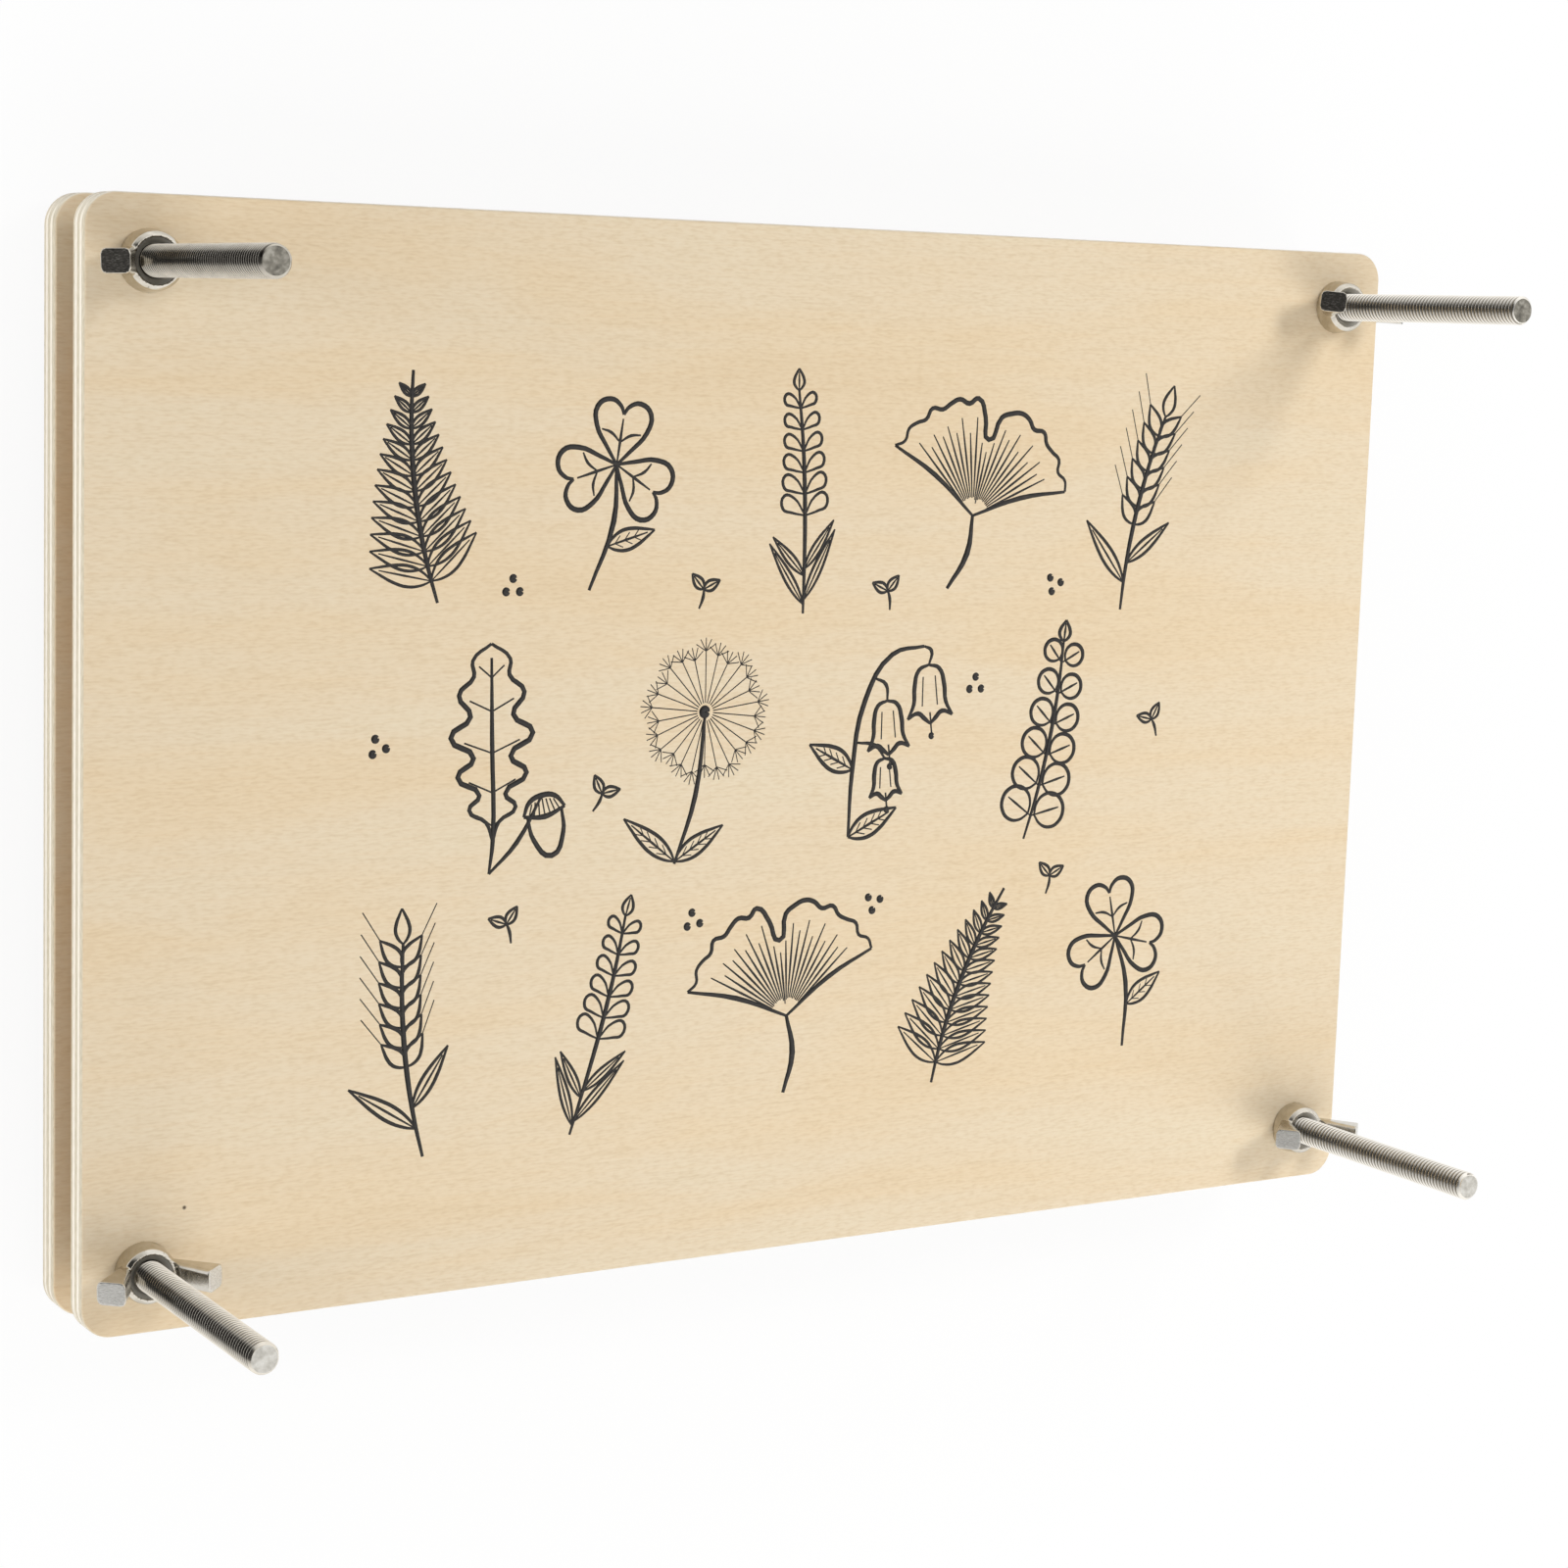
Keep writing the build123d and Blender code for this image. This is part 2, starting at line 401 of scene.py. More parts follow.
def nickel_plate():
    """Bright nickel plate on a die casting: a faintly warm mirror that waves a little over the casting,
    duller and paler where the casting was cut or polishing didn't reach."""
    made, tree, shader = material("nickel_plate", Metallic=1.0)
    at = add(tree, "ShaderNodeTexCoord").outputs["Object"]
    wave_at = add(tree, "ShaderNodeMapping", {"Vector": at, "Scale": cells(1.7, 1.7, 1.7)}).outputs[0]
    wave = add(tree, "ShaderNodeTexNoise", {"Vector": wave_at, "Scale": 1.0, "Detail": 2.0}).outputs["Fac"]
    tone = add(tree, "ShaderNodeValToRGB", {0: wave}, stops=[
        (0.3, linear("#C3BCAE")), (0.7, linear("#D2CCC0"))])
    worn = add(tree, "ShaderNodeAttribute", attribute_name="dull").outputs["Fac"]
    plated = add(tree, "ShaderNodeMix", {0: worn, 6: tone.outputs[0], 7: linear("#E2DFD8")}, data_type="RGBA")
    tree.links.new(plated.outputs[2], shader.inputs["Base Color"])
    gloss = add(tree, "ShaderNodeMapRange", {"Value": wave, "To Min": 0.04, "To Max": 0.14}).outputs[0]
    dull = add(tree, "ShaderNodeMapRange", {"Value": worn, "To Min": gloss, "To Max": 0.5}).outputs[0]
    tree.links.new(dull, shader.inputs["Roughness"])
    bump = add(tree, "ShaderNodeBump", {"Strength": 0.4, "Distance": casting_relief, "Height": wave})
    tree.links.new(bump.outputs[0], shader.inputs["Normal"])
    return made


def broken_gate(name, tones):
    """Nickel over the wing tips, where the casting was broken off and linished: grey, scratched, dull.
    Linishing scratches are too fine to show, so they are drawn 0.22 mm wide."""
    made, tree, shader = material(name, Metallic=1.0)
    at = add(tree, "ShaderNodeTexCoord").outputs["Object"]
    scratch_at = add(tree, "ShaderNodeMapping", {"Vector": at, "Scale": cells(0.9, 0.22, 0.5),
                                                 "Rotation": (0.4, 0.3, 0.6)}).outputs[0]
    scratch = add(tree, "ShaderNodeTexNoise", {"Vector": scratch_at, "Scale": 1.0, "Detail": 3.0,
                                               "Roughness": 0.7}).outputs["Fac"]
    tone = add(tree, "ShaderNodeValToRGB", {0: scratch}, stops=[
        (place, linear(code)) for place, code in zip((0.3, 0.55, 0.7), tones)])
    tree.links.new(tone.outputs[0], shader.inputs["Base Color"])
    dull = add(tree, "ShaderNodeMapRange", {"Value": scratch, "To Min": 0.3, "To Max": 0.6}).outputs[0]
    tree.links.new(dull, shader.inputs["Roughness"])
    bump = add(tree, "ShaderNodeBump", {"Strength": 0.6, "Distance": scratch_relief, "Height": scratch})
    tree.links.new(bump.outputs[0], shader.inputs["Normal"])
    return made


def zinc_plated_steel(name, tones, groove):
    """Rolled steel thread with thin zinc plate: silvery, satin, a little darker and rougher in patches, and
    darkest in the grooves, where shade is painted into its colour."""
    made, tree, shader = material(name, Metallic=1.0)
    at = add(tree, "ShaderNodeTexCoord").outputs["Object"]
    patch_at = add(tree, "ShaderNodeMapping", {"Vector": at, "Scale": cells(3, 3, 5)}).outputs[0]
    patch = add(tree, "ShaderNodeTexNoise", {"Vector": patch_at, "Scale": 1.0, "Detail": 4.0}).outputs["Fac"]
    tone = add(tree, "ShaderNodeValToRGB", {0: patch}, stops=[
        (place, linear(code)) for place, code in zip((0.3, 0.7), tones)])
    # Painted shade: the colour darkens from the crest to the root of the thread, by the groove depth noted on
    # each bolt
    depth = add(tree, "ShaderNodeAttribute", attribute_name="groove").outputs["Fac"]
    shade = add(tree, "ShaderNodeMapRange", {"Value": depth, "From Min": 0.08, "From Max": 0.58,
                                             "To Max": 0.96}).outputs[0]
    plated = add(tree, "ShaderNodeMix", {0: shade, 6: tone.outputs[0], 7: linear(groove)}, data_type="RGBA")
    tree.links.new(plated.outputs[2], shader.inputs["Base Color"])
    satin = add(tree, "ShaderNodeMapRange", {"Value": patch, "To Min": 0.1, "To Max": 0.22}).outputs[0]
    tree.links.new(satin, shader.inputs["Roughness"])

    # Zinc crystals are too fine to show, so they are drawn 0.25 mm wide
    fine_at = add(tree, "ShaderNodeMapping", {"Vector": at, "Scale": cells(0.25, 0.25, 0.25)}).outputs[0]
    fine = add(tree, "ShaderNodeTexNoise", {"Vector": fine_at, "Scale": 1.0, "Detail": 1.0}).outputs["Fac"]
    bump = add(tree, "ShaderNodeBump", {"Strength": 0.2, "Distance": plate_relief, "Height": fine})
    tree.links.new(bump.outputs[0], shader.inputs["Normal"])
    return made


def sheared_zinc(name, tones):
    """Zinc plate over the bolts' sheared ends: grey, dull, softly mottled."""
    made, tree, shader = material(name, Metallic=1.0, Roughness=0.5)
    at = add(tree, "ShaderNodeTexCoord").outputs["Object"]
    mottle_at = add(tree, "ShaderNodeMapping", {"Vector": at, "Scale": cells(1.3, 1.3, 1.3)}).outputs[0]
    mottle = add(tree, "ShaderNodeTexNoise", {"Vector": mottle_at, "Scale": 1.0,
                                              "Detail": 3.0}).outputs["Fac"]
    tone = add(tree, "ShaderNodeValToRGB", {0: mottle}, stops=[
        (place, linear(code)) for place, code in zip((0.3, 0.5, 0.7), tones)])
    tree.links.new(tone.outputs[0], shader.inputs["Base Color"])
    bump = add(tree, "ShaderNodeBump", {"Strength": 0.4, "Distance": shear_relief, "Height": mottle})
    tree.links.new(bump.outputs[0], shader.inputs["Normal"])
    return made


def kraft_board():
    """Corrugated kraft board: brown, matt, with flecks of fibre and faint lines where the flutes show.
    Single fibres are too fine to show, so they are drawn as tufts 0.5 mm wide."""
    made, tree, shader = material("kraft_board", Roughness=0.85)
    at = add(tree, "ShaderNodeTexCoord").outputs["Object"]
    fibre_at = add(tree, "ShaderNodeMapping", {"Vector": at, "Scale": cells(0.5, 2.4, 0.5)}).outputs[0]
    fibre = add(tree, "ShaderNodeTexNoise", {"Vector": fibre_at, "Scale": 1.0, "Detail": 3.0,
                                             "Roughness": 0.65}).outputs["Fac"]
    tone = add(tree, "ShaderNodeValToRGB", {0: fibre}, stops=[
        (0.28, linear("#96744B")), (0.5, linear("#B7925F")), (0.72, linear("#C9A877"))])
    tree.links.new(tone.outputs[0], shader.inputs["Base Color"])
    one_wave_per_cell = math.tau / 20
    flute_cells = cells(*[flute_pitch / mm] * 3)
    flute_at = add(tree, "ShaderNodeMapping", {"Vector": at, "Scale": flute_cells}).outputs[0]
    flute = add(tree, "ShaderNodeTexWave", {"Vector": flute_at, "Scale": one_wave_per_cell},
                bands_direction="X").outputs["Fac"]
    height = add(tree, "ShaderNodeMath", {0: fibre, 1: flute}, operation="ADD").outputs[0]
    bump = add(tree, "ShaderNodeBump", {"Strength": 0.4, "Distance": kraft_relief, "Height": height})
    tree.links.new(bump.outputs[0], shader.inputs["Normal"])
    return made


def cotton_blotter():
    """Blotting paper, soft and unsized: warm white, quite matt, with a felted surface of fine fibres,
    which are too fine to show and are drawn as tufts 0.8 mm wide."""
    made, tree, shader = material("cotton_blotter", Roughness=0.95)
    at = add(tree, "ShaderNodeTexCoord").outputs["Object"]
    felt_at = add(tree, "ShaderNodeMapping", {"Vector": at, "Scale": cells(0.8, 0.8, 0.8)}).outputs[0]
    felt = add(tree, "ShaderNodeTexNoise", {"Vector": felt_at, "Scale": 1.0, "Detail": 4.0,
                                            "Roughness": 0.7}).outputs["Fac"]
    tone = add(tree, "ShaderNodeValToRGB", {0: felt}, stops=[
        (0.3, linear("#E3DECF")), (0.6, linear("#F1EEE3"))])
    tree.links.new(tone.outputs[0], shader.inputs["Base Color"])
    bump = add(tree, "ShaderNodeBump", {"Strength": 0.5, "Distance": felt_relief, "Height": felt})
    tree.links.new(bump.outputs[0], shader.inputs["Normal"])
    return made


def fit_out(piece, body, slot, node, *finishes):
    """Gives a piece its materials and body, and lets it stand for its node if it has one. The slot is not
    used.
    """
    piece.data.materials.clear()
    for finish in finishes:
        piece.data.materials.append(finish)
    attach(piece, body)
    if node:
        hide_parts(node)


def bolt_axis(corner):
    low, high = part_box(f"carriage_bolt_{corner}")
    return (low + high) / 2


def plywood_board(node, name, has_seats):
    """Board with rounded corners, softened arrises and its bolt holes."""
    low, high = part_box(node)
    board = block(name, low, high)
    pick(board, "EDGE", lambda edge: abs(edge.verts[0].co.z - edge.verts[1].co.z) > tolerance)
    bpy.ops.mesh.bevel(offset=board_corner_radius, segments=board_corner_steps, affect="EDGES")
    close_edit()
    pick(board, "EDGE", lambda edge: abs(edge.verts[0].co.z - edge.verts[1].co.z) < tolerance)
    bpy.ops.mesh.bevel(offset=board_arris_radius, segments=board_arris_steps, affect="EDGES")
    close_edit()
    middle = (low.z + high.z) / 2
    for corner in corners:
        axis = bolt_axis(corner)
        bpy.ops.object.select_all(action="DESELECT")
        bpy.ops.mesh.primitive_cylinder_add(vertices=shank_hole_steps, radius=shank_hole_radius,
                                            depth=high.z - low.z + 2 * cut_overrun,
                                            location=(axis.x, axis.y, middle))
        cut(board, bpy.context.object, "DIFFERENCE")
        if has_seats:
            half = neck_width / 2 + neck_clearance
            seat = block("seat", Vector((axis.x - half, axis.y - half, low.z - cut_overrun)),
                         Vector((axis.x + half, axis.y + half, low.z + neck_length + neck_clearance)))
            cut(board, seat, "DIFFERENCE")
    smooth(board, 35)
    apply_modifier(board, "WEIGHTED_NORMAL", keep_sharp=True)
    return board


def threaded_bolt():
    """Carriage bolt on the Z axis: domed head on zero, square neck, and an M6 thread to a chamfered tip."""
    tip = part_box(f"carriage_bolt_{corners[0]}")[1].z
    arc = (head_radius ** 2 + head_dome_height ** 2) / (2 * head_dome_height)
    reach = math.asin(head_radius / arc)
    turns_of_dome = [reach * step / dome_steps for step in range(dome_steps + 1)]
    dome = [(arc * math.sin(turn), arc * (1 - math.cos(turn))) for turn in turns_of_dome]
    rim = [(head_radius, head_height - head_edge_rounding), (head_radius - head_edge_rounding, head_height),
           (0, head_height)]
    head = spun("head", dome + rim, turning_steps)

    half = neck_width / 2
    neck = block("neck", Vector((-half, -half, head_height - neck_sink)),
                 Vector((half, half, head_height + neck_length)))
    pick(neck, "EDGE", lambda edge: True)
    bpy.ops.mesh.bevel(offset=neck_edge_rounding, segments=2, affect="EDGES")
    close_edit()

    # The thread starts inside the neck and runs past the tip. Heights in its outline are shares of the pitch.
    start = head_height + neck_length / 2
    turns = math.ceil((tip - start) / thread_pitch) + 2
    shoulder = thread_crest_radius - thread_crest_rounding
    outline = [(thread_root_radius, 0), (thread_root_radius, 0.2), (shoulder, 0.5),
               (thread_crest_radius, 0.56), (thread_crest_radius, 0.64), (shoulder, 0.7),
               (thread_root_radius, 1)]
    profile = [(radius, start - thread_pitch + share * thread_pitch) for radius, share in outline]
    bolt = spun("bolt", profile, thread_steps, thread_pitch, turns)
    pick(bolt, "EDGE", lambda edge: edge.is_boundary)
    bpy.ops.mesh.fill()
    close_edit()
    tidy_shell(bolt)

    # A turned shape, a little wider than the thread, trims it to length and chamfers its tip
    wide = trimmer_share * thread_crest_radius
    tip_radius = thread_crest_radius - tip_chamfer
    trimmer = [(0, start), (wide, start), (wide, tip + tip_radius - wide),
               (tip_radius + tip_edge_rise, tip - tip_edge_rise),
               (tip_radius - tip_edge_inset, tip), (0, tip)]
    cut(bolt, spun("trimmer", trimmer, turning_steps), "INTERSECT")
    bolt = joined(head, neck, bolt)
    smooth(bolt, 30)
    return bolt


def mark_thread(bolt):
    """Notes how deep in the thread each corner lies, and gives the flat tip the second finish."""
    tip = max(corner.co.z for corner in bolt.data.vertices)
    groove = bolt.data.attributes.new("groove", "FLOAT", "POINT")
    for corner, depth in zip(bolt.data.vertices, groove.data):
        if head_height + neck_length < corner.co.z < tip - tip_chamfer:
            sunk = thread_crest_radius - corner.co.xy.length
            depth.value = clamped(sunk / (thread_crest_radius - thread_root_radius))
    for face in bolt.data.polygons:
        if face.normal.z > bolt_end_cosine and face.center.z > tip - tolerance:
            face.material_index = 1


def wing_nut():
    """Wing nut on the Z axis, seated on zero with its wings along X: a copy of the cast form, with its tips
    spread a little and its edges softened."""
    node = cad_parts["wing_nut_front_left"]
    axis = bolt_axis("front_left")
    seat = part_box("wing_nut_front_left")[0].z
    turned_back = Matrix.Rotation(math.radians(-nut_turns["front_left"]), 4, "Z")
    nut = copied(node, "nut", turned_back @ Matrix.Translation((-axis.x, -axis.y, -seat)))
    nut.parent = None
    for key in list(nut.keys()):
        del nut[key]
    tidy_shell(nut)
    pick(nut, "VERT", lambda corner: abs(corner.co.x) > wing_outer_share * wing_tip_reach)
    bpy.ops.transform.resize(value=(1, wing_tip_spread_share, 1), center_override=(0, 0, 0))
    close_edit()
    apply_modifier(nut, "REMESH", mode="VOXEL", voxel_size=nut_grain)
    apply_modifier(nut, "SMOOTH", factor=0.5, iterations=nut_smoothing_rounds)
    only(nut)
    bpy.ops.object.shade_smooth()
    return nut


def mark_tips(nut):
    """Gives the flat wing tips the second finish, and notes where the nut is dull: in its cut mouth and,
    a little, on the wings' inner faces, which polishing doesn't reach."""
    flare = math.radians(wing_flare_angle)
    along = Vector((math.cos(flare), 0, math.sin(flare)))
    end = along.dot(Vector((wing_tip_reach, 0, wing_tip_rise))) - wing_tip_margin
    for side in (-1, 1):
        outward = Vector((side * along.x, 0, along.z))
        for face in nut.data.polygons:
            if face.normal.dot(outward) > wing_tip_cosine and outward.dot(face.center) > end:
                face.material_index = 1
    dull = nut.data.attributes.new("dull", "FLOAT", "POINT")
    for corner, share in zip(nut.data.vertices, dull.data):
        side = math.copysign(1, corner.co.x)
        towards_bolt = Vector((-side * along.z, 0, along.x))
        if corner.co.xy.length > mouth_radius:
            facing = corner.normal.dot(towards_bolt)
            inner = (facing - inner_from_cosine) / (inner_full_cosine - inner_from_cosine)
            share.value = wing_dull_share * clamped(inner)
        elif corner.co.z > hub_height - mouth_depth:
            share.value = clamped((mouth_radius - corner.co.xy.length) / nut_grain)


def clipped_sheet(name, low, high, corner_cut):
    """Sheet with its four corners cut off at 45 degrees."""
    sheet = block(name, low, high)
    pick(sheet, "EDGE", lambda edge: (edge.verts[0].co - edge.verts[1].co).xy.length < tolerance)
    bpy.ops.mesh.bevel(offset=corner_cut, segments=1, affect="EDGES")
    close_edit()
    return sheet


def corrugated_card(name, low, high):
    """Two flat liners with a wavy sheet between them, whose flutes run along Y."""
    lower = clipped_sheet("lower", low, Vector((high.x, high.y, low.z + liner_thickness)), card_corner_cut)
    upper = clipped_sheet("upper", Vector((low.x, low.y, high.z - liner_thickness)), high, card_corner_cut)
    flute_count = round((high.x - low.x) / flute_pitch)
    pitch = (high.x - low.x) / flute_count
    swing = (high.z - low.z) / 2 - liner_thickness - flute_thickness / 2
    middle = (low + high) / 2
    half = (high - low) / 2
    shares = [step / flute_steps for step in range(flute_steps + 1)]
    wave = drawn_line(name, [
        Vector((low.x + pitch * share, low.y, middle.z + swing * math.cos(math.tau * share)))
        for share in shares])
    apply_modifier(wave, "ARRAY", count=flute_count, use_relative_offset=False, use_constant_offset=True,
                   constant_offset_displace=(pitch, 0, 0), use_merge_vertices=True)
    pick(wave, "EDGE", lambda edge: True)
    bpy.ops.mesh.extrude_region_move(TRANSFORM_OT_translate={"value": (0, high.y - low.y, 0)})
    close_edit()
    apply_modifier(wave, "SOLIDIFY", thickness=flute_thickness, offset=0)
    for side_x in (-1, 1):
        for side_y in (-1, 1):
            pick(wave, "FACE", lambda face: True)
            corner = middle + Vector((side_x * half.x, side_y * (half.y - card_corner_cut), 0))
            bpy.ops.mesh.bisect(plane_co=corner, plane_no=(side_x, side_y, 0), clear_outer=True,
                                use_fill=True)
            close_edit()
    tidy_shell(wave)
    smooth(wave, 30)
    return joined(lower, upper, wave)


def blotter(name, low, high):
    """Blotting sheet with softly rounded edges."""
    sheet = clipped_sheet(name, low, high, blotter_corner_cut)
    pick(sheet, "EDGE", lambda edge: abs(edge.verts[0].co.z - edge.verts[1].co.z) < tolerance)
    bpy.ops.mesh.bevel(offset=blotter_edge_rounding, segments=2, affect="EDGES")
    close_edit()
    smooth(sheet, 50)
    return sheet


# Line drawings, in millimetres: each is a list of strokes, and a stroke is its points and its pen's width.
# Each is drawn upright from its foot, which is at or near zero.

def at_angle(degrees):
    return Vector((math.cos(math.radians(degrees)), math.sin(math.radians(degrees))))


def leaf(base, heading, length, breadth, pen, veins=0):
    """Both sides, the midrib and paired veins of a leaf."""
    along = at_angle(heading)
    across = at_angle(heading + 90)
    swell = ((0, 0), (0.14, 0.6), (0.36, 1), (0.6, 0.84), (0.82, 0.4), (1, 0))
    strokes = [([base, base + along * length * 0.45, base + along * length * 0.85], 0.7 * pen)]
    for side in (-1, 1):
        half = across * side * breadth / 2
        strokes.append(([base + along * length * share + half * width for share, width in swell], pen))
        for vein in range(veins):
            root = base + along * length * (0.16 + 0.6 * vein / veins)
            strokes.append(([root, root + along * length * 0.14 + across * side * breadth * 0.3], 0.55 * pen))
    return strokes


def ring(centre, radius, pen):
    return [([centre + at_angle(step * 45) * radius for step in range(9)], pen)]


def fern():
    def rib(share):
        return Vector((9 * share * share - 4 * share, 44 * share))
    strokes = [([rib(step / 6) for step in range(7)], 0.9)]
    for step in range(13):
        share = 0.1 + 0.066 * step
        length = 12.5 * (1 - share) ** 0.8 + 1.6
        heading = math.degrees(math.atan2(44, 18 * share - 4))
        for side in (-1, 1):
            strokes += leaf(rib(share), heading + side * (64 - 18 * share), length, 0.3 * length, 0.5)
    return strokes


def clover():
    heart = ((0, 0), (2.6, 3), (5.6, 7), (6, 10.6), (3.4, 12.4), (0.9, 11.4), (0, 9.8))
    fold = ((0, 4.4), (2.2, 6), (4.4, 6.4))
    joint = Vector((0, 25))
    strokes = [([joint, Vector((1.2, 14)), Vector((-2, 0))], 0.95)]
    for heading in (90, 205, -25):
        along, across = at_angle(heading), at_angle(heading - 90)
        for side in (-1, 1):
            strokes.append(([joint + along * up + across * side * out for out, up in heart], 0.85))
            strokes.append(([joint + along * up + across * side * out for out, up in fold], 0.5))
        strokes.append(([joint, joint + along * 5, joint + along * 9], 0.5))
    return strokes + leaf(Vector((0.6, 9)), 25, 11, 4, 0.6, 3)


def ginkgo():
    heart = Vector((0, 16))
    edge = []
    for step in range(25):
        heading = 24 + 132 * step / 24
        notch = 7.5 * math.exp(-((heading - 90) / 6) ** 2)
        edge.append(heart + at_angle(heading) * (24 + 0.7 * math.sin(step * 2.4) - notch))
    strokes = [([heart, Vector((0.6, 8)), Vector((-2.5, 0))], 1.1), (edge, 0.85)]
    for end in (edge[0], edge[-1]):
        strokes.append(([heart, heart + (end - heart) * 0.5 + Vector((0, 1.2)), end], 0.85))
    for step in range(2, 23):
        vein = edge[step] - heart
        reach = 0.84 - 0.1 * (step % 2)
        strokes.append(([heart + vein * 0.16, heart + vein * 0.5, heart + vein * reach], 0.4))
    return strokes


def dandelion():
    heart = Vector((1, 31))
    strokes = [([Vector((-2, 0)), Vector((1, 14)), heart], 0.9)] + ring(heart, 0.6, 1.3)
    for step in range(26):
        heading = 360 * step / 26
        reach = 11.5 + 0.9 * math.sin(step * 2.1)
        end = heart + at_angle(heading) * reach
        strokes.append(([heart + at_angle(heading) * 1.8, end], 0.34))
        for spread in (-58, -28, 0, 28, 58):
            strokes.append(([end, end + at_angle(heading + spread) * 2.7], 0.3))
    for heading, length in ((38, 13), (148, 15)):
        strokes += leaf(Vector((-2, 0.5)), heading, length, 3.6, 0.6, 4)
    return strokes


def lavender():
    def stem(share):
        return Vector((2.4 * math.sin(2 * share), 45 * share))
    bud = ((50, 0), (76, 0.5), (72, 0.85), (48, 1), (34, 0.7), (50, 0))
    strokes = [([stem(step / 5) for step in range(6)], 0.8)]
    for step in range(6):
        base = stem(0.44 + 0.096 * step)
        size = 6.4 - 0.4 * step
        for side in (-1, 1):
            strokes.append(([base + at_angle(88 + side * turn) * size * reach for turn, reach in bud], 0.55))
    strokes += leaf(stem(1), 86, 4.4, 2.4, 0.55)
    for share, heading, length in ((0.04, 118, 15), (0.06, 58, 16), (0.17, 128, 11), (0.2, 50, 12)):
        strokes += leaf(stem(share), heading, length, 1.9, 0.5)
    return strokes


def oak_sprig():
    lobes = ((0, 0), (0.1, 1.4), (0.17, 5), (0.24, 2.8), (0.34, 7.4), (0.43, 4), (0.54, 8.8), (0.64, 4.6),
             (0.75, 7), (0.84, 3.8), (0.92, 4), (1, 0))
    base, tip = Vector((-3, 5)), Vector((4, 43))
    along = tip - base
    across = Vector((-along.y, along.x)).normalized()
    strokes = [([Vector((-5, -1)), base, base + along * 0.5, base + along * 0.93], 0.8)]
    for side in (-1, 1):
        strokes.append(([base + along * share + across * side * width for share, width in lobes], 0.9))
        for share, width in lobes[2::2]:
            root = base + along * (share - 0.09)
            strokes.append(([root, root + along * 0.06 + across * side * width * 0.68], 0.5))
    cup = Vector((9, 8))
    strokes.append(([Vector((-5, -1)), Vector((2, 3.5)), cup + Vector((0, 3.2))], 0.8))
    strokes += [([cup + Vector((-4.6, 0)), cup + Vector((-2.8, 2.6)), cup + Vector((0, 3.3)),
                  cup + Vector((2.8, 2.6)), cup + Vector((4.6, 0))], 0.9),
                ([cup + Vector((-4.6, 0)), cup + Vector((0, -1)), cup + Vector((4.6, 0))], 0.9),
                ([cup + Vector((-3.8, -0.4)), cup + Vector((-3.3, -5)), cup + Vector((0, -9)),
                  cup + Vector((3.3, -5)), cup + Vector((3.8, -0.4))], 0.9)]
    for step in range(-3, 4):
        crease = Vector((step * 0.8, 2.7 - 0.2 * abs(step)))
        strokes.append(([cup + Vector((step * 1.15, -0.4)), cup + crease], 0.45))
    return strokes


def wheat():
    def stem(share):
        return Vector((7 * share ** 2, 42 * share))
    strokes = [([stem(step / 5) for step in range(6)], 0.9)]
    for step in range(6):
        base = stem(0.44 + 0.092 * step)
        heading = 84 - 8 * step / 6
        for side in (-1, 1):
            grain = heading + side * 38
            strokes += leaf(base, grain, 7.2, 3.1, 0.6)[1:]
            awn = base + at_angle(grain) * 7
            strokes.append(([awn, awn + at_angle(heading + side * 30) * 7], 0.34))
    strokes += leaf(stem(1), 77, 7, 3, 0.6)[1:]
    return strokes + leaf(stem(0.14), 132, 17, 3, 0.6) + leaf(stem(0.24), 42, 14, 2.6, 0.6)


def bellflower():
    stem = [Vector(point) for point in ((-9, 0), (-7.5, 14), (-4, 28), (3, 37), (11, 38))]
    wall = ((0, 0), (2.5, -0.9), (3.7, -4.4), (4, -8), (5.6, -11))
    rim = ((5.6, -11), (3, -10), (1.4, -11.2), (0, -12.4))
    fold = ((1.5, -2.4), (1.9, -8.6))
    strokes = [(stem, 0.95)]
    for top, size, hook in ((Vector((12, 34)), 1.0, stem[4]),
                            (Vector((1.5, 27.5)), 0.92, Vector((-1.4, 32.5))),
                            (Vector((0.5, 15.5)), 0.72, Vector((-6.2, 19.5)))):
        strokes.append(([hook, (hook + top) / 2 + Vector((1.2, 0.9)), top], 0.7))
        for side in (-1, 1):
            for line, pen in ((wall, 0.85), (rim, 0.85), (fold, 0.45)):
                strokes.append(([top + Vector((side * out, down)) * size for out, down in line], pen))
        strokes.append(([top + Vector((0, -10)) * size, top + Vector((0.3, -14.6)) * size], 0.6))
        strokes += ring(top + Vector((0.3, -15)) * size, 0.3, 0.8)
    return strokes + leaf(stem[1], 148, 12, 4.6, 0.7, 4) + leaf(stem[0], 22, 13, 4.6, 0.7, 4)


def eucalyptus():
    def stem(share):
        return Vector((-6 * share ** 2 + 4 * share, 43 * share))
    strokes = [([stem(step / 5) for step in range(6)], 0.8)]
    for step in range(6):
        base = stem(0.12 + 0.155 * step)
        size = 7.4 - 0.55 * step
        for side in (-1, 1):
            heading = 92 + side * (66 - 3 * step)
            centre = base + at_angle(heading) * (1.2 + size / 2)
            round_leaf = [centre + at_angle(heading + 180 + turn) * (size / 2) * (1 if turn % 180 else 1.08)
                          for turn in range(0, 361, 40)]
            strokes.append((round_leaf, 0.7))
            strokes.append(([base, centre, centre + at_angle(heading) * size * 0.34], 0.45))
    return strokes + leaf(stem(1), 98, 4.6, 2.8, 0.7)


def three_berries():
    strokes = []
    for heading in (90, 210, 330):
        strokes += ring(at_angle(heading) * 1.7, 0.35, 0.95)
    return strokes


